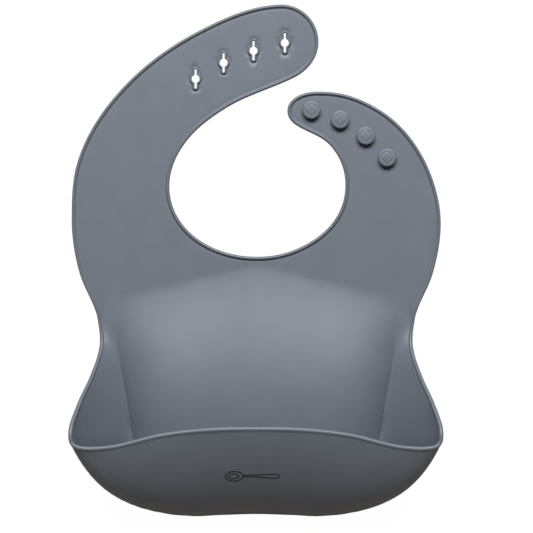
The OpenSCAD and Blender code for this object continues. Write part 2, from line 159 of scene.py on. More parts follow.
def bezier(controls, t):
    """Points of cubic curves, and their slopes. The controls broadcast against t."""
    a, b, c, d = (np.asarray(k, float) for k in controls)
    t = np.asarray(t, float)[..., None]
    s = 1 - t
    point = s**3 * a + 3 * t * s**2 * b + 3 * t**2 * s * c + t**3 * d
    slope = s**2 * (b - a) + 2 * t * s * (c - b) + t**2 * (d - c)
    return point, slope


def handle_share(turn):
    """Length of a curve's handles, as a share of its chord, that keeps it close to an arc."""
    turn = abs(math.radians(turn))
    almost_straight = turn < 0.02
    return 1 / 3 if almost_straight else 2 / 3 * math.tan(turn / 4) / math.sin(turn / 2)


def edge_line():
    """Points along the free edge and the direction into the bib at each."""
    points, inward = [], []
    for a, b in zip(EDGE, EDGE[1:]):
        start, end = np.array(a[:2], float), np.array(b[:2], float)
        turn = (b[2] - a[2] + 540) % 360 - 180
        reach = np.linalg.norm(end - start) * handle_share(turn)
        leave, arrive = ([math.cos(h), math.sin(h)] for h in map(math.radians, (a[2], b[2])))
        controls = start, start + reach * np.array(leave), end - reach * np.array(arrive), end
        count = math.ceil(np.linalg.norm(end - start) / EDGE_STEP)
        steps = np.arange(count + (b is EDGE[-1])) / count
        p, slope = bezier(controls, steps)
        points.append(p)
        inward.append(-left_of(unit(slope)))
    return np.concatenate(points), np.concatenate(inward)


def distance_to(points, line):
    """Shortest distance from each point to a polyline, a batch of points at a time."""
    batch = 2000
    a, run = line[:-1], np.diff(line, axis=0)
    squared = np.maximum((run**2).sum(1), 1e-9)  # never 0, where a line doubles a point
    best = np.full(len(points), np.inf)
    for start in range(0, len(points), batch):
        p = points[start : start + batch, None]
        t = np.clip(((p - a) * run).sum(2) / squared, 0, 1)
        d = np.linalg.norm(p - a - t[..., None] * run, axis=2)
        best[start : start + batch] = d.min(1)
    return best


def inside(points, loop):
    """Whether each point lies inside a closed polygon."""
    a, b = loop, np.roll(loop, -1, axis=0)
    x, y = points[:, :1], points[:, 1:]
    crosses = (a[:, 1] > y) != (b[:, 1] > y)
    rise = np.where(b[:, 1] == a[:, 1], 1, b[:, 1] - a[:, 1])
    at = a[:, 0] + (y - a[:, 1]) / rise * (b[:, 0] - a[:, 0])
    return (crosses & (x < at)).sum(1) % 2 == 1


# ------------------------------------------------------------------------------------ sections

# A section is the height of the top and of the underside over the middle surface, at distance s from an
# edge. Beads and collars have a blunt edge that rounds up to a crest, then fall to a groove and rise from it
# to the sheet. For each: half the height of the blunt edge, widths of the top's and the underside's rounding,
# where the crest ends, and where the groove is and how deep.
BEAD = dict(blunt=0.45, top_w=1.2, under_w=0.65, crest_end=1.3, groove_at=2.45, groove_depth=0.12)
COLLAR = dict(blunt=0.4, top_w=0.35, under_w=0.3, crest_end=0.8, groove_at=1.45, groove_depth=0.4)
GROOVE_EASE = 0.7
# The rolled lip: its radius, and where it has thinned to the sheet.
LIP_R = 1.3
LIP_EASE_END = 3.1
LIP_ROW = int(np.searchsorted(ROWS, LIP_EASE_END))


def rounding(s, width):
    """Quarter of an ellipse, from 0 at the edge to 1 where s reaches the width."""
    return np.sqrt(1 - (1 - np.minimum(s, width) / width) ** 2)


def raised_section(s, blunt, top_w, under_w, crest_end, groove_at, groove_depth):
    """Section of an edge with a bead or a collar."""
    crest, groove = BEAD_TOP - HALF_T, HALF_T - groove_depth
    rising = blunt + (crest - blunt) * rounding(s, top_w)
    falling = crest + (groove - crest) * smooth((s - crest_end) / (groove_at - crest_end))
    level = groove + (HALF_T - groove) * smooth((s - groove_at) / GROOVE_EASE)
    top = np.where(s < crest_end, rising, np.where(s < groove_at, falling, level))
    under = blunt - (HALF_T + blunt) * rounding(s, under_w)
    return top, under


def lip_section(s):
    """Section of the rolled lip on the pocket's rim, which is thicker on both sides."""
    thinning = smooth((s - LIP_R) / (LIP_EASE_END - LIP_R))
    half = np.where(s < LIP_R, LIP_R * rounding(s, LIP_R), LIP_R + (HALF_T - LIP_R) * thinning)
    return half, -half


# ------------------------------------------------------------------------------------ panel and pocket

# Ribs of the pocket from the waist round to the middle of the front: foot x y, reach of the fillet,
# shoulder x y z, rim x y z.
RIBS = [
    ((84, -31.6), 3.0, (90, -33.05, HALF_T), (*POCKET_TOP, HALF_T)),
    ((83.5, -50), 2, (89, -51, 2.2), (93.6, -52, 5.5)),
    ((81.5, -67), 2, (90.5, -68, 8), (97.2, -69, 17.5)),
    ((78, -86), 2, (94.5, -86, 17), (103.2, -84.5, 32)),
    ((75, -106), 3, (101, -106.5, 27), (107.4, -100, 44)),
    ((70, -127), 17, (100.5, -131.5, 30), (104, -110, 45.5)),
    ((57, -143), 12, (89.5, -147, 32.5), (84, -110.2, 46)),
    ((40, -149), 12, (54, -146, 33), (55, -103.4, 47)),
    ((20, -149), 11.5, (28, -141, 34.5), (28, -100.2, 48)),
    ((0, -149), 11, (0, -137, 35.5), (0, -99.5, 48)),
]
LAST_RIB = len(RIBS) - 1
CORNER_RIB = 5  # the side walls end and the front starts here
# Stations from rib to rib, rows from the border rows to the foot, and points along a station's curve.
STEPS_PER_RIB = 10
WALL_ROWS = 16
FINE_STEPS = 161
LIP_FULL_RIB = 2.5  # the bead has turned into the lip by here
# How far apart, in ribs, the foot's direction is measured, and how far on each side it is averaged.
RUN_STEP, RUN_SPREAD = 0.02, 0.75

# The panel's bulge: its height and the line where it is highest, the middle, slant and rounding of its
# upper limit, half its width at the x axis and how fast that narrows, how gently it starts, how fast it
# falls beyond its highest line, and how sharply it ends at the side creases.
BELLY_RISE = 14
CREST_Y = -90
BULGE_TOP, BULGE_SLANT, BULGE_ROUND = -4, 0.25, 8
CREASE_HALF, CREASE_TAPER = 96, 0.2
BULGE_EASE, BULGE_FALL_RATE, CREASE_SHARPNESS = 1.25, 1.1, 6


def bulge(x, y):
    """Height of the lower panel's bulge over the flat sheet."""
    top_y = BULGE_TOP - BULGE_SLANT * (np.hypot(x, BULGE_ROUND) - BULGE_ROUND)
    down = np.maximum(0, (top_y - y) / (top_y - CREST_Y))
    climbed = np.minimum(1, down) ** BULGE_EASE
    fallen = BULGE_FALL_RATE * np.maximum(0, down - 1)
    across = np.minimum(1, np.abs(x) / (CREASE_HALF + CREASE_TAPER * y))
    return BELLY_RISE * np.sin(np.pi / 2 * (climbed + fallen)) * (1 - across**CREASE_SHARPNESS)


def through_ribs(values, p):
    """Smooth curve through one value per rib: x and y, and a height if there is one.

    It starts with its heights level, and goes on past the middle rib as its own mirror image."""
    values = np.asarray(values, float)
    before = 2 * values[0] - values[1]
    before[2:] = values[1][2:]
    flip = np.where(np.arange(values.shape[1]) == 0, -1, 1)
    knots = np.vstack([before, values, values[-2] * flip])
    i = np.minimum(np.floor(p).astype(int), LAST_RIB - 1)
    t = (p - i)[:, None]
    a, b, c, d = (knots[i + k] for k in range(4))
    return b + t / 2 * ((c - a) + t * ((2 * a - 5 * b + 4 * c - d) + t * (3 * b - a - 3 * c + d)))


def foot_outward(p):
    """Direction away from the panel, square to the wall's foot."""
    feet = [r[0] for r in RIBS]
    ahead = through_ribs(feet, np.minimum(p + RUN_STEP, LAST_RIB))
    behind = through_ribs(feet, np.maximum(p - RUN_STEP, 0))
    return left_of(unit(ahead - behind))


def half_wall(p, steps):
    """Middle surface of the right half of the wall, from the foot to the rim, at each rib position p."""
    foot = through_ribs([r[0] for r in RIBS], p)
    z = HALF_T + bulge(foot[:, 0], foot[:, 1])
    around = np.maximum(p - RUN_SPREAD, 0), p, np.minimum(p + RUN_SPREAD, LAST_RIB)
    outward = unit(sum(foot_outward(k) for k in around))
    reach = through_ribs([(0, r[1]) for r in RIBS], p)[:, 1:]
    base = np.column_stack([foot, z])
    fillet = np.column_stack([foot + reach * outward, z])
    shoulder = through_ribs([r[2] for r in RIBS], p)
    rim = through_ribs([r[3] for r in RIBS], p)
    controls = [k[:, None] for k in (base, fillet, shoulder, rim)]
    return bezier(controls, np.linspace(0, 1, steps)[None])


def run_along(lines):
    """Distance along each line from its first point to each of its points."""
    steps = np.linalg.norm(np.diff(lines, axis=1), axis=2)
    return np.concatenate([np.zeros((len(lines), 1)), steps.cumsum(1)], 1)


def wall_grid():
    """Middle surface of the whole wall: a row for each station, from the left waist to the right one, of
    points from the rim to the foot. Also gives each station's lip share."""
    p = np.linspace(0, LAST_RIB, LAST_RIB * STEPS_PER_RIB + 1)
    fine, slope = half_wall(p, FINE_STEPS)
    lip = smooth(p / LIP_FULL_RIB)
    end = fine[:, -1] + (2 * LIP_R * lip)[:, None] * unit(slope[:, -1])
    line = np.concatenate([fine, end[:, None]], 1)[:, ::-1]
    rows = []
    for path, length in zip(line, run_along(line)):
        rest = np.linspace(BAND, length[-1] - FOOT_ROWS[0], WALL_ROWS)[1:]
        at = np.concatenate([ROWS, rest, length[-1:]])
        rows.append(np.stack([np.interp(at, length, path[:, k]) for k in range(3)], 1))
    right = np.array(rows)
    left = right * [-1, 1, 1]
    return np.concatenate([left, right[-2::-1]]), np.concatenate([lip, lip[-2::-1]])


# ------------------------------------------------------------------------------------ keyholes

# Radius of the round middle, half width of the slit, radius of the relief holes at its ends, how far they
# are from the middle, and how softly the three run into each other.
KEYHOLE_R, SLIT_HALF, RELIEF_R, RELIEF_REACH = 2.4, 0.59, 0.65, 5.2
KEYHOLE_BLEND = 0.35

RING_ROWS = np.array([0, 0.06, 0.18, 0.35, 0.6, 0.85, 1.15, 1.45, 1.75, 2.2])
RING_GROOVE = 7
RING_POINTS = 72
# The points of a ring are gathered towards the slit's ends, where it turns most.
RING_GATHER = 0.425
# A ring's points lie between these distances from the keyhole's middle, and are found by halving.
RING_NEAR, RING_FAR = 1.0, 9.0
HALVINGS = 40


def keyhole_distance(x, y):
    """Distance outward from the keyhole's edge: a round middle with a slit to a relief hole at each end."""
    middle = np.hypot(x, y) - KEYHOLE_R
    slit = np.hypot(x, y - np.clip(y, -RELIEF_REACH, RELIEF_REACH)) - SLIT_HALF
    relief = np.hypot(x, np.abs(y) - RELIEF_REACH) - RELIEF_R
    arms = np.minimum(slit, relief)
    h = np.clip(0.5 + (arms - middle) / (2 * KEYHOLE_BLEND), 0, 1)
    return arms + (middle - arms) * h - KEYHOLE_BLEND * h * (1 - h)


def keyhole_distances(xy):
    """Distance of each point from the edge of each of the keyholes in turn."""
    return [keyhole_distance(*(xy - node_centre(name)).T) for name in COLLARS]


def keyhole_rings():
    """Closed curves round a keyhole at the origin, one for each distance in RING_ROWS."""
    turn = np.linspace(0, 2 * np.pi, RING_POINTS, endpoint=False)
    angle = turn + RING_GATHER * np.sin(2 * turn)
    cos, sin = np.cos(angle), np.sin(angle)
    rings = []
    for distance in RING_ROWS:
        near, far = np.full(RING_POINTS, RING_NEAR), np.full(RING_POINTS, RING_FAR)
        for _ in range(HALVINGS):
            mid = (near + far) / 2
            short = keyhole_distance(mid * cos, mid * sin) < distance
            near, far = np.where(short, mid, near), np.where(short, far, mid)
        rings.append(np.stack([near * cos, near * sin], 1))
    return rings


# ------------------------------------------------------------------------------------ skin

GRID_STEP = 3.0
FOLD_ROW_STEP = 1.6
FOLD_ROW_OVERRUN = 6
# Room kept between points: beside the border rows for the folds' rows and round the keyholes for the grid,
# beside all other lines, and beside the last of the foot's rows.
ROW_GAP, GRID_GAP, FOOT_GAP = 0.9, 1.2, 1.4
# Points this close are one point, to the triangulation and where the wall meets the flat skin.
SAME_POINT, SEAM_GAP = 1e-4, 0.02
FAR = 99.0  # a distance from the edge at which every section is plain sheet

# Above this y the bib divides into its straps. The short one is right of one line and below another.
STRAPS_FROM_Y = 25
SHORT_STRAP_FROM_X, SHORT_STRAP_TO_Y = 18, 104
# A circle that holds the neck opening and its bead, and no other edge.
NECK_MIDDLE_Y, NECK_R = 48, 66

# Each body's sheet, and the bead along its free edges.
SHEETS = {
    "lower_bib": ("lower_panel", "lower_panel_side_beads"),
    "chest": ("chest_panel", "chest_outer_beads"),
    "long_strap_1": ("long_strap_root", "long_strap_root_beads"),
    "long_strap_2": ("long_strap_middle", "long_strap_middle_beads"),
    "long_strap_3": ("long_strap_end", "long_strap_end_bead"),
    "short_strap_1": ("short_strap_root", "short_strap_root_beads"),
    "short_strap_2": ("short_strap_end", "short_strap_end_bead"),
}


def fold_ahead(name):
    """Direction across a fold line, from the parent to the child."""
    inner, outer, _, _, _ = FOLDS[name]
    turn = -1 if name.startswith("long") else 1
    return turn * left_of(unit(np.subtract(outer, inner)))


def fold_side(name, xy):
    """Distance of each point beyond a fold line, on the child's side, and whether it is on that limb."""
    d = (xy - FOLDS[name][0]) @ fold_ahead(name)
    if name == "waist_fold":
        return d, np.ones(len(xy), bool)
    x, y = xy.T
    on_straps = y > STRAPS_FROM_Y
    short = on_straps & (x > SHORT_STRAP_FROM_X) & (y < SHORT_STRAP_TO_Y)
    return d, short if name.startswith("short") else on_straps & ~short


def bodies_of(xy):
    """The body, or the fold whose strip it is in, for each point of the flat sheet."""
    found = np.full(len(xy), "lower_bib", dtype=object)
    waist_first = sorted(FOLDS, key=lambda name: name != "waist_fold")
    for name in waist_first:
        _, _, half, parent, child = FOLDS[name]
        d, limb = fold_side(name, xy)
        reached = limb & (found == parent)
        found[reached & (d > half)] = child
        found[reached & (np.abs(d) <= half)] = name
    return found


class Sketch:
    """Points and the lines between them, as the triangulation takes them."""

    def __init__(self):
        self.points, self.lines = [], []

    def line(self, points, closed=False):
        """Add points and the lines from each to the next."""
        first = len(self.points)
        self.points += [tuple(p) for p in points]
        last = len(self.points) - 1
        self.lines += [(k, k + 1) for k in range(first, last)]
        if closed:
            self.lines.append((last, first))

    def dots(self, points):
        """Add points on their own."""
        self.points += [tuple(p) for p in points]

    def triangles(self):
        """Points and triangles of the whole drawing."""
        points = [Vector(p) for p in self.points]
        made = delaunay_2d_cdt(points, self.lines, [], 0, SAME_POINT)
        return np.array([v[:] for v in made[0]]), np.array([f[:] for f in made[2]])


def fold_rows(sketch, name, rim):
    """Lines along a fold's strip, so that its mesh runs in even rows along the fold."""
    inner, outer, half, _, _ = FOLDS[name]
    inner, outer = np.array(inner, float), np.array(outer, float)
    run = unit(outer - inner)
    length = np.linalg.norm(outer - inner)
    count = 2 * math.ceil(half / FOLD_ROW_STEP) + 1
    for k, shift in enumerate(np.linspace(-half, half, count)):
        start = -FOLD_ROW_OVERRUN + (k % 2) * GRID_STEP / 2
        steps = np.arange(start, length + FOLD_ROW_OVERRUN, GRID_STEP)
        line = inner + steps[:, None] * run + shift * left_of(run)
        clear = distance_to(line, rim) > BAND + ROW_GAP
        clear[[0, -1]] = True
        sketch.line(line[clear])


def border_rows(sketch, rim, inward, left, right):
    """Lines along the free edge, which start and end on the pocket's waist ends."""
    for k, inset in enumerate(ROWS):
        row = rim + inset * inward
        row[0], row[-1] = left[k], right[k]
        sketch.line(row)


def foot_rows(sketch, foot, ends):
    """Lines along the foot of the wall, and beside it on the panel."""
    sketch.line(foot)
    into_panel = left_of(unit(np.gradient(foot, axis=0)))
    for inset in FOOT_ROWS:
        row = foot + inset * into_panel
        from_ends = np.linalg.norm(row[:, None] - ends, axis=2).min(1)
        sketch.line(row[from_ends > GRID_GAP])


def grid_dots(loop, rim, foot, ends):
    """Even triangular grid inside the loop, clear of all the lines."""
    lo, hi = loop.min(0), loop.max(0)
    x = np.arange(lo[0], hi[0], GRID_STEP)
    y = np.arange(lo[1], hi[1], GRID_STEP * math.sqrt(3) / 2)
    gx, gy = np.meshgrid(x, y)
    gx[1::2] += GRID_STEP / 2
    dots = np.stack([gx.ravel(), gy.ravel()], 1)
    keep = inside(dots, loop) & (distance_to(dots, rim) > BAND + GRID_GAP)
    keep &= distance_to(dots, ends) > GRID_GAP
    keep &= distance_to(dots, foot) > FOOT_ROWS[-1] + FOOT_GAP
    for from_hole in keyhole_distances(dots):
        keep &= from_hole > RING_ROWS[-1] + ROW_GAP
    for name, (_, _, half, _, _) in FOLDS.items():
        d, limb = fold_side(name, dots)
        keep &= ~(limb & (np.abs(d) < half + GRID_GAP))
    return dots[keep]


def flat_skin(wall):
    """Points and triangles of the flat sheet and the bulging panel, seen from above, and the free edge."""
    rim, inward = edge_line()
    foot = wall[:, -1, :2]
    left, right = wall[0, :, :2], wall[-1, :, :2]
    ends = np.concatenate([left, right])
    loop = np.concatenate([rim, right[1:], foot[-2::-1], left[-2:0:-1]])
    sketch = Sketch()
    border_rows(sketch, rim, inward, left, right)
    sketch.line(left)
    sketch.line(right)
    foot_rows(sketch, foot, ends)
    rings = keyhole_rings()
    for name in COLLARS:
        for ring in rings:
            sketch.line(ring + node_centre(name), closed=True)
    for name in FOLDS:
        fold_rows(sketch, name, rim)
    sketch.dots(grid_dots(loop, rim, foot, ends))

    points, faces = sketch.triangles()
    centre = points[faces].mean(1)
    kept = inside(centre, loop)
    for name in COLLARS:
        kept &= ~inside(centre, rings[0] + node_centre(name))
    return points, faces[kept], rim


def flat_pieces(centre, rim):
    """Name of the piece that each triangle of the flat skin belongs to."""
    body = bodies_of(centre)
    edge = distance_to(centre, rim) < ROWS[GROOVE_ROW]
    names = np.empty(len(centre), dtype=object)
    for name, (sheet, bead) in SHEETS.items():
        names[(body == name) & ~edge] = sheet
        names[(body == name) & edge] = bead
    at_neck = np.hypot(centre[:, 0], centre[:, 1] - NECK_MIDDLE_Y) < NECK_R
    names[(body == "chest") & edge & at_neck] = "neck_bead"
    for name, from_hole in zip(COLLARS, keyhole_distances(centre)):
        names[from_hole < RING_ROWS[RING_GROOVE]] = name
    for fold in FOLDS:
        names[body == fold] = fold
    return names


def vertex_normals(points, faces):
    """Vertex normals of a mesh, as Blender works them out."""
    mesh = bpy.data.meshes.new("normals")
    mesh.from_pydata([tuple(p) for p in points], [], [tuple(map(int, f)) for f in faces])
    mesh.update()
    normals = np.empty(len(points) * 3, np.float32)
    mesh.vertices.foreach_get("normal", normals)
    bpy.data.meshes.remove(mesh)
    return normals.reshape(-1, 3)


def flat_heights(xy, rim):
    """Top and underside of the flat skin over its middle surface, and which points are on a free edge, which
    is less than half way to the next row."""
    from_edge = distance_to(xy, rim)
    top, under = raised_section(from_edge, **BEAD)
    free = from_edge < ROWS[1] / 2
    for from_hole in keyhole_distances(xy):
        near = from_hole < RING_ROWS[-1] + RING_ROWS[1]
        top[near], under[near] = raised_section(np.maximum(from_hole[near], 0), **COLLAR)
        free |= from_hole < RING_ROWS[1] / 2
    return top, under, free


def wall_heights(lip, rows):
    """The same for each row of the wall, whose bead turns into the rolled lip along the rim."""
    from_rim = np.concatenate([ROWS, np.full(rows - len(ROWS), FAR)])
    share = lip[:, None]
    sections = zip(raised_section(from_rim, **BEAD), lip_section(from_rim))
    top, under = (bead + share * (roll - bead) for bead, roll in sections)
    return top, under, np.broadcast_to(from_rim < ROWS[1] / 2, top.shape)


def wall_numbers(wall, xy):
    """Each wall point's number in the skin, and whether it is the wall's own.

    The wall's ends and foot are points of the flat skin already. The others come after all of those."""
    own = np.ones(wall.shape[:2], bool)
    own[[0, -1]] = False
    own[:, -1] = False
    number = np.full(own.shape, -1)
    for station, row in np.argwhere(~own):
        gap = np.hypot(*(xy - wall[station, row, :2]).T)
        number[station, row] = gap.argmin()
        assert gap.min() < SEAM_GAP, "the wall's border must be a line of the flat skin"
    number[own] = len(xy) + np.arange(own.sum())
    return number, own


def wall_faces(number):
    """Faces of the wall, and the name of the piece that each belongs to."""
    stations, rows = number.shape
    corner = CORNER_RIB * STEPS_PER_RIB
    faces, names = [], []
    for station in range(stations - 1):
        side = "left" if station < corner else "right" if station >= stations - 1 - corner else "front"
        for row in range(rows - 1):
            a, b = number[station, row], number[station, row + 1]
            c, d = number[station + 1, row + 1], number[station + 1, row]
            faces.append((a, d, c, b))
            names.append(f"pocket_{side}_{'lip' if row < LIP_ROW else 'wall'}")
    return faces, names


def make_skin():
    """The whole skin: its middle surface, top and underside over it, which points are on a free edge, its
    faces, and the name of each face's piece."""
    wall, lip = wall_grid()
    xy, triangles, rim = flat_skin(wall)
    used, triangles = np.unique(triangles, return_inverse=True)
    xy, triangles = xy[used], triangles.reshape(-1, 3)
    number, own = wall_numbers(wall, xy)
    flat_mid = np.column_stack([xy, HALF_T + bulge(xy[:, 0], xy[:, 1])])
    mid = np.concatenate([flat_mid, wall[own]])
    both = zip(flat_heights(xy, rim), wall_heights(lip, wall.shape[1]))
    top, under, free = (np.concatenate([flat, upright[own]]) for flat, upright in both)
    faces, names = wall_faces(number)
    faces = [tuple(t) for t in triangles] + faces
    names = list(flat_pieces(xy[triangles].mean(1), rim)) + names
    return mid, top, under, free, faces, names


class Skin:
    """The skin with both its faces and their normals, from which the pieces are cut."""

    def __init__(self):
        mid, top, under, free, faces, names = make_skin()
        facing = vertex_normals(mid, faces)
        if facing[0][2] < 0:
            faces = [f[::-1] for f in faces]
            facing = -facing
        count = len(mid)
        self.points = np.concatenate([mid + top[:, None] * facing, mid + under[:, None] * facing])
        # each point's number on the underside, which it shares with the top where it is on a free edge
        self.below = np.where(free, np.arange(count), np.arange(count) + count)
        self.faces, self.names = faces, np.array(names, dtype=object)
        whole = faces + [tuple(self.below[list(f)][::-1]) for f in faces]
        self.normals = vertex_normals(self.points, whole)

    def piece(self, name):
        """One closed piece: its top, its underside and the cuts between it and its neighbours."""
        mine = [self.faces[k] for k in np.flatnonzero(self.names == name)]
        edges = {(a, b): None for f in mine for a, b in zip(f, f[1:] + f[:1])}
        border = [(a, b) for a, b in edges if (b, a) not in edges]
        below = self.below
        under = [tuple(int(below[v]) for v in reversed(f)) for f in mine]
        cuts = []
        for a, b in border:
            ring = [b, a, int(below[a]), int(below[b])]
            ring = [v for k, v in enumerate(ring) if v != ring[k - 1]]
            if len(ring) > 2:
                cuts.append(tuple(ring))
        faces = [tuple(map(int, f)) for f in mine] + under + cuts
        used = sorted({v for f in faces for v in f})
        order = {v: k for k, v in enumerate(used)}
        mesh = mesh_of(name, self.points[used], [[order[v] for v in f] for f in faces])
        mesh.validate()
        mesh.shade_smooth()
        mesh.normals_split_custom_set_from_vertices([tuple(n) for n in self.normals[used]])
        return link(mesh)


def mesh_of(name, points, faces):
    """A mesh of points in mm."""
    mesh = bpy.data.meshes.new(name)
    mesh.from_pydata([tuple(np.array(p) * MM) for p in points], [], faces)
    mesh.update()
    return mesh


def link(mesh):
    """A new object that shows the mesh."""
    obj = bpy.data.objects.new(mesh.name, mesh)
    bpy.context.scene.collection.objects.link(obj)
    return obj


# ------------------------------------------------------------------------------------ studs

STUD_RING = 72
STUD_NECK_R, STUD_HEAD_R = 2.4, 5.5
# The head's rounded edge: how wide it is, half its height, its middle over the foot, and steps round it.
STUD_EDGE_W, STUD_EDGE_HALF, STUD_EDGE_Z, STUD_EDGE_STEPS = 0.95, 0.92, 2.62, 11
# How far the mark's outline goes from a pointed diamond (1) towards a circle (2).
DIAMOND_POWER = 1.12


def stud_profile():
    """Radius, height over the stud's foot, and how far the ring is from round (0) to the diamond (1)."""
    foot = [(3.3, -0.35, 0), (3.1, 0.02, 0), (2.75, 0.22, 0), (2.5, 0.5, 0)]
    neck = [(STUD_NECK_R, 0.85, 0), (STUD_NECK_R, 1.35, 0)]
    under = [(2.55, 1.58, 0), (2.9, 1.7, 0), (4.7, 1.72, 0)]
    edge_r = STUD_HEAD_R - STUD_EDGE_W
    edge = [
        (edge_r + STUD_EDGE_W * math.cos(a), STUD_EDGE_Z + STUD_EDGE_HALF * math.sin(a), 0)
        for a in np.radians(np.linspace(-90, 90, STUD_EDGE_STEPS))
    ]
    crown = [(4.2, 3.57, 0), (3.9, 3.58, 0.6), (3.62, 3.57, 1)]
    mark_side = [(3.45, 3.6, 1), (3.3, 3.7, 1), (3.15, 3.8, 1), (2.95, 3.86, 1)]
    mark_top = [(2.5, 3.88, 1), (1.6, 3.89, 1), (0.6, 3.9, 1)]
    return foot + neck + under + edge + crown + mark_side + mark_top


def make_stud(name):
    """A press stud with a faint diamond on its head, turned from its profile and closed at both ends."""
    lo, _ = node_box(name)
    centre = node_centre(name)
    angle = np.linspace(0, 2 * np.pi, STUD_RING, endpoint=False)
    cos, sin = np.cos(angle), np.sin(angle)
    diamond = (np.abs(cos) ** DIAMOND_POWER + np.abs(sin) ** DIAMOND_POWER) ** (-1 / DIAMOND_POWER)
    points, faces = [], []
    profile = stud_profile()
    for r, z, share in profile:
        ring = r * (1 + share * (diamond - 1))
        points += [(centre[0] + k * c, centre[1] + k * s, lo[2] + z) for k, c, s in zip(ring, cos, sin)]
    last = (len(profile) - 1) * STUD_RING
    for start in range(0, last, STUD_RING):
        for i in range(STUD_RING):
            a, b = start + i, start + (i + 1) % STUD_RING
            faces.append((a, b, b + STUD_RING, a + STUD_RING))
    bottom, crown = len(points), len(points) + 1
    points += [(*centre, lo[2] + profile[0][1]), (*centre, lo[2] + profile[-1][1])]
    for i in range(STUD_RING):
        j = (i + 1) % STUD_RING
        faces.append((bottom, j, i))
        faces.append((crown, last + i, last + j))
    mesh = mesh_of(f"{name}_button", points, faces)
    mesh.shade_smooth()
    return link(mesh)


# ------------------------------------------------------------------------------------ pocket print

PRINT_AT = (-2.0, 32.5)  # x, and distance from the rim down the outer face
PRINT_STROKE = 0.75
PRINT_T = 0.05
PRINT_SINK = 0.02
PRINT_RIBS = 2  # ribs on each side of the middle that the print can reach
# The spoon: middle and half size of its bowl and of the shine in it, and where its handle starts and ends,
# with half its width at both.
BOWL_X, BOWL_HALF, BOWL_STEPS = -10.8, (5.2, 3.5), 64
SHINE_X, SHINE_HALF = -11.2, (3.0, 1.75)
HANDLE_X, HANDLE_HALF, HANDLE_STEPS = (-5.6, 14.2), (0.55, 1.5), 40
HANDLE_FLARE = 1.5
TIP_STEPS = 12


def spoon_strokes():
    """Outline of a small spoon lying on its side, as closed curves round the origin."""
    turn = np.linspace(0, 2 * np.pi, BOWL_STEPS, endpoint=False)
    round_curve = np.stack([np.cos(turn), np.sin(turn)], 1)
    bowl = (BOWL_X, 0) + BOWL_HALF * round_curve
    shine = (SHINE_X, 0) + SHINE_HALF * round_curve
    (start, end), (narrow, wide) = HANDLE_X, HANDLE_HALF
    x = np.linspace(start, end, HANDLE_STEPS)
    half = narrow + (wide - narrow) * smooth((x - start) / (end - start)) ** HANDLE_FLARE
    tip = np.linspace(np.pi / 2, -np.pi / 2, TIP_STEPS)[1:-1]
    cap = np.stack([end + wide * np.cos(tip), wide * np.sin(tip)], 1)
    handle = np.concatenate([np.stack([x, half], 1), cap, np.stack([x[::-1], -half[::-1]], 1)])
    return [bowl, shine, handle]


def make_print():
    """Thin raised strokes that lie on the outer face of the pocket's front."""
    wall, _ = wall_grid()
    outward = unit(np.cross(np.gradient(wall, axis=1), np.gradient(wall, axis=0)))
    points, faces = [], []
    for curve in spoon_strokes():
        side = left_of(unit(np.roll(curve, -1, axis=0) - np.roll(curve, 1, axis=0)))
        count = len(curve)
        first = len(points)
        for shift in (-PRINT_STROKE / 2, PRINT_STROKE / 2):
            on, out = outer_face(wall, outward, curve + shift * side + PRINT_AT)
            points += [*(on - PRINT_SINK * out), *(on + PRINT_T * out)]
        # the four lines of points: one edge's foot and top, then the other's
        ring = [first, first + count, first + 3 * count, first + 2 * count]
        for a, b in zip(ring, ring[1:] + ring[:1]):
            for i in range(count):
                j = (i + 1) % count
                faces.append((a + i, a + j, b + j, b + i))
    return link(mesh_of("pocket_front_print", points, faces))


def outer_face(wall, outward, flat):
    """Points of the wall's outer face at x and distance from the rim, and the way out there."""
    middle = len(wall) // 2
    reach = PRINT_RIBS * STEPS_PER_RIB
    band = slice(middle - reach, middle + reach + 1)
    stations = list(zip(run_along(wall[band]), wall[band], outward[band]))
    on, way = [], []
    for x, s in flat:
        line = np.array([[np.interp(s, run, mid[:, c]) for c in range(3)] for run, mid, _ in stations])
        normal = np.array([[np.interp(s, run, out[:, c]) for c in range(3)] for run, _, out in stations])
        at = [np.interp(x, line[:, 0], line[:, c]) for c in range(3)]
        n = unit([np.interp(x, line[:, 0], normal[:, c]) for c in range(3)])
        on.append(np.array(at) + HALF_T * n)
        way.append(n)
    return np.array(on), np.array(way)


# ------------------------------------------------------------------------------------ materials

# The silicone's colour, how much lighter the studs look, how cloudy it is, and how rough it is and how much
# that varies. Then the ink, where it covers well and where it is thin.
TONE = (0.117, 0.125, 0.141)
STUD_LIGHTER = 1.03
CLOUDINESS = 0.04
SATIN, SATIN_SPREAD = 0.41, 0.05
INK_DARK, INK_WORN = (0.004, 0.004, 0.005), (0.012, 0.012, 0.014)


def new_material(name):
    """A material with its nodes, its links and its shader."""
    material = bpy.data.materials.new(name)
    material.use_nodes = True
    nodes = material.node_tree.nodes
    return material, nodes, material.node_tree.links, nodes["Principled BSDF"]


def noise(nodes, links, scale, detail, rough):
    """A noise texture in the object's own space; scale is in turns per metre."""
    coords = nodes.new("ShaderNodeTexCoord")
    texture = nodes.new("ShaderNodeTexNoise")
    texture.inputs["Scale"].default_value = scale
    texture.inputs["Detail"].default_value = detail
    texture.inputs["Roughness"].default_value = rough
    links.new(coords.outputs["Object"], texture.inputs["Vector"])
    return texture.outputs["Fac"]


def ranged(nodes, links, value, low, high):
    """The value, spread from the usual range of a noise to low..high."""
    spread = nodes.new("ShaderNodeMapRange")
    spread.inputs["From Min"].default_value = 0.3
    spread.inputs["From Max"].default_value = 0.7
    spread.inputs["To Min"].default_value = low
    spread.inputs["To Max"].default_value = high
    links.new(value, spread.inputs["Value"])
    return spread.outputs["Result"]


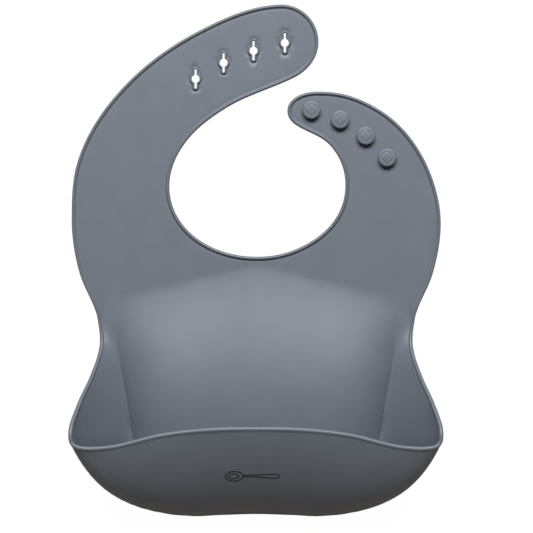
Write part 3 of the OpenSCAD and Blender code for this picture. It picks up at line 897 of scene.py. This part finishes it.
def two_tone(nodes, links, shader, share, dark, light):
    """Base colour that goes from dark to light with the share."""
    tone = nodes.new("ShaderNodeMix")
    tone.data_type = "RGBA"
    tone.inputs["A"].default_value = (*dark, 1)
    tone.inputs["B"].default_value = (*light, 1)
    links.new(ranged(nodes, links, share, 0, 1), tone.inputs["Factor"])
    links.new(tone.outputs["Result"], shader.inputs["Base Color"])


def silicone(name, colour):
    """Matte moulded silicone: a hint of cloudiness, and the fine satin grain that the mould leaves."""
    material, nodes, links, shader = new_material(name)
    cloud = noise(nodes, links, scale=55, detail=4, rough=0.55)
    grain = noise(nodes, links, scale=2600, detail=2, rough=0.6)
    dark, light = ([c * (1 + step) for c in colour] for step in (-CLOUDINESS, CLOUDINESS))
    two_tone(nodes, links, shader, cloud, dark, light)
    satin = ranged(nodes, links, grain, SATIN - SATIN_SPREAD, SATIN + SATIN_SPREAD)
    links.new(satin, shader.inputs["Roughness"])
    bump = nodes.new("ShaderNodeBump")
    bump.inputs["Strength"].default_value = 0.35
    bump.inputs["Distance"].default_value = 0.00004
    links.new(grain, bump.inputs["Height"])
    links.new(bump.outputs["Normal"], shader.inputs["Normal"])
    shader.inputs["IOR"].default_value = 1.41
    shader.inputs["Specular IOR Level"].default_value = 0.45
    return material


def ink(name):
    """Dark matte ink with slightly uneven cover."""
    material, nodes, links, shader = new_material(name)
    patch = noise(nodes, links, scale=900, detail=3, rough=0.6)
    two_tone(nodes, links, shader, patch, INK_DARK, INK_WORN)
    shader.inputs["Roughness"].default_value = 0.6
    return material


# ------------------------------------------------------------------------------------ the bib

RECORD = frame["record"]
BODY_OF = {node: body for body, nodes in RECORD["behaviour"]["bodies"].items() for node in nodes}


def finish_piece(obj, material):
    """Give a piece its material."""
    obj.data.materials.append(material)


def stand_for(obj, node):
    """Let a piece ride the body of its CAD node, in that node's place."""
    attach(obj, BODY_OF[node])
    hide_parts(node)


def build_skin():
    """The skin's pieces: one for each CAD node except the studs, and a strip for each fold."""
    skin = Skin()
    material = silicone("silicone_sheet", TONE)
    for name in sorted(set(skin.names)):
        obj = skin.piece(name)
        if name in FOLDS:
            obj.name = f"{name}_strip"
            finish_piece(obj, material)
            bend(obj)
        else:
            obj.name = f"{name}_skin"
            finish_piece(obj, material)
            stand_for(obj, name)


def build_studs():
    """The four press studs."""
    material = silicone("silicone_stud", [c * STUD_LIGHTER for c in TONE])
    for name in STUDS:
        obj = make_stud(name)
        finish_piece(obj, material)
        stand_for(obj, name)


def build_print():
    """The print on the pocket's front."""
    obj = make_print()
    finish_piece(obj, ink("pocket_print"))
    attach(obj, "lower_bib")


def bend(obj):
    """Bake a fold's strip's place into its mesh; it is on no body, and nothing bends it."""
    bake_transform(obj)


# ------------------------------------------------------------------------------------ stage

FLOOR_HALF, FLOOR_Z = 8.0, -0.0002  # m
LIGHT_DISTANCE = 1.8  # m
# Name, azimuth and elevation in degrees, size in m, watts, colour.
LIGHTS = [
    ("window", 90, 48, (1.6, 0.7), 69, (0.89, 0.955, 1)),
    ("room_left", 235, 14, (1.4, 0.8), 3, (1, 0.96, 0.9)),
    ("room_right", 305, 14, (1.4, 0.8), 3, (1, 0.96, 0.9)),
]
# Where the camera hangs, and half the width that it sees at the floor.
CAMERA_AT = (6.2, -3.9, 1200)
VIEW_HALF_WIDTH = 161.2


def ray_split(nodes, links, seen, unseen, output):
    """seen for what the camera looks at directly, unseen for the light that it passes on."""
    path = nodes.new("ShaderNodeLightPath")
    mix = nodes.new("ShaderNodeMixShader")
    links.new(path.outputs["Is Camera Ray"], mix.inputs[0])
    links.new(unseen, mix.inputs[1])
    links.new(seen, mix.inputs[2])
    links.new(mix.outputs[0], output.inputs["Surface"])


def make_floor():
    """Floor that looks white, takes a soft shadow and passes little light on."""
    corners = [(-1, -1), (1, -1), (1, 1), (-1, 1)]
    mesh = bpy.data.meshes.new("floor")
    mesh.from_pydata([(FLOOR_HALF * x, FLOOR_HALF * y, FLOOR_Z) for x, y in corners], [], [(0, 1, 2, 3)])
    floor = link(mesh)
    material = bpy.data.materials.new("floor")
    material.use_nodes = True
    nodes, links = material.node_tree.nodes, material.node_tree.links
    nodes.clear()
    out = nodes.new("ShaderNodeOutputMaterial")
    glow = nodes.new("ShaderNodeEmission")
    glow.inputs["Strength"].default_value = 0.985
    pale = nodes.new("ShaderNodeBsdfDiffuse")
    pale.inputs["Color"].default_value = (0.035, 0.035, 0.035, 1)
    both = nodes.new("ShaderNodeAddShader")
    links.new(glow.outputs[0], both.inputs[0])
    links.new(pale.outputs[0], both.inputs[1])
    dim = nodes.new("ShaderNodeBsdfDiffuse")
    dim.inputs["Color"].default_value = (0.38, 0.31, 0.26, 1)
    ray_split(nodes, links, both.outputs[0], dim.outputs[0], out)
    mesh.materials.append(material)


def make_world():
    """World that looks white and adds a faint warm fill."""
    world = bpy.data.worlds.new("studio")
    bpy.context.scene.world = world
    world.use_nodes = True
    nodes, links = world.node_tree.nodes, world.node_tree.links
    nodes.clear()
    out = nodes.new("ShaderNodeOutputWorld")
    seen = nodes.new("ShaderNodeBackground")
    seen.inputs["Color"].default_value = (1, 1, 1, 1)
    seen.inputs["Strength"].default_value = 1.0
    fill = nodes.new("ShaderNodeBackground")
    fill.inputs["Color"].default_value = (1, 0.97, 0.93, 1)
    fill.inputs["Strength"].default_value = 0.08
    ray_split(nodes, links, seen.outputs[0], fill.outputs[0], out)


def area_light(name, place, size, watts, colour):
    """A rectangular light that faces the bib."""
    data = bpy.data.lights.new(name, "AREA")
    data.shape = "RECTANGLE"
    data.size, data.size_y = size
    data.energy = watts
    data.color = colour
    lamp = bpy.data.objects.new(name, data)
    bpy.context.scene.collection.objects.link(lamp)
    lamp.location = place
    lamp.rotation_mode = "QUATERNION"
    lamp.rotation_quaternion = (-Vector(place)).to_track_quat("-Z", "Y")


def make_lights():
    """A window at the top of the photo and the room's own weak light from the front."""
    for name, azimuth, elevation, size, watts, colour in LIGHTS:
        a, e = math.radians(azimuth), math.radians(elevation)
        direction = math.cos(e) * math.cos(a), math.cos(e) * math.sin(a), math.sin(e)
        area_light(name, [LIGHT_DISTANCE * v for v in direction], size, watts, colour)


def make_camera():
    """Camera that looks straight down."""
    data = bpy.data.cameras.new("camera")
    data.angle = 2 * math.atan(VIEW_HALF_WIDTH / CAMERA_AT[2])
    camera = bpy.data.objects.new("camera", data)
    bpy.context.scene.collection.objects.link(camera)
    camera.location = [v * MM for v in CAMERA_AT]
    camera.rotation_euler = (0, 0, 0)
    bpy.context.scene.camera = camera


build_skin()
build_studs()
build_print()
make_floor()
make_world()
make_lights()
make_camera()
bpy.context.scene.view_settings.view_transform = "Standard"
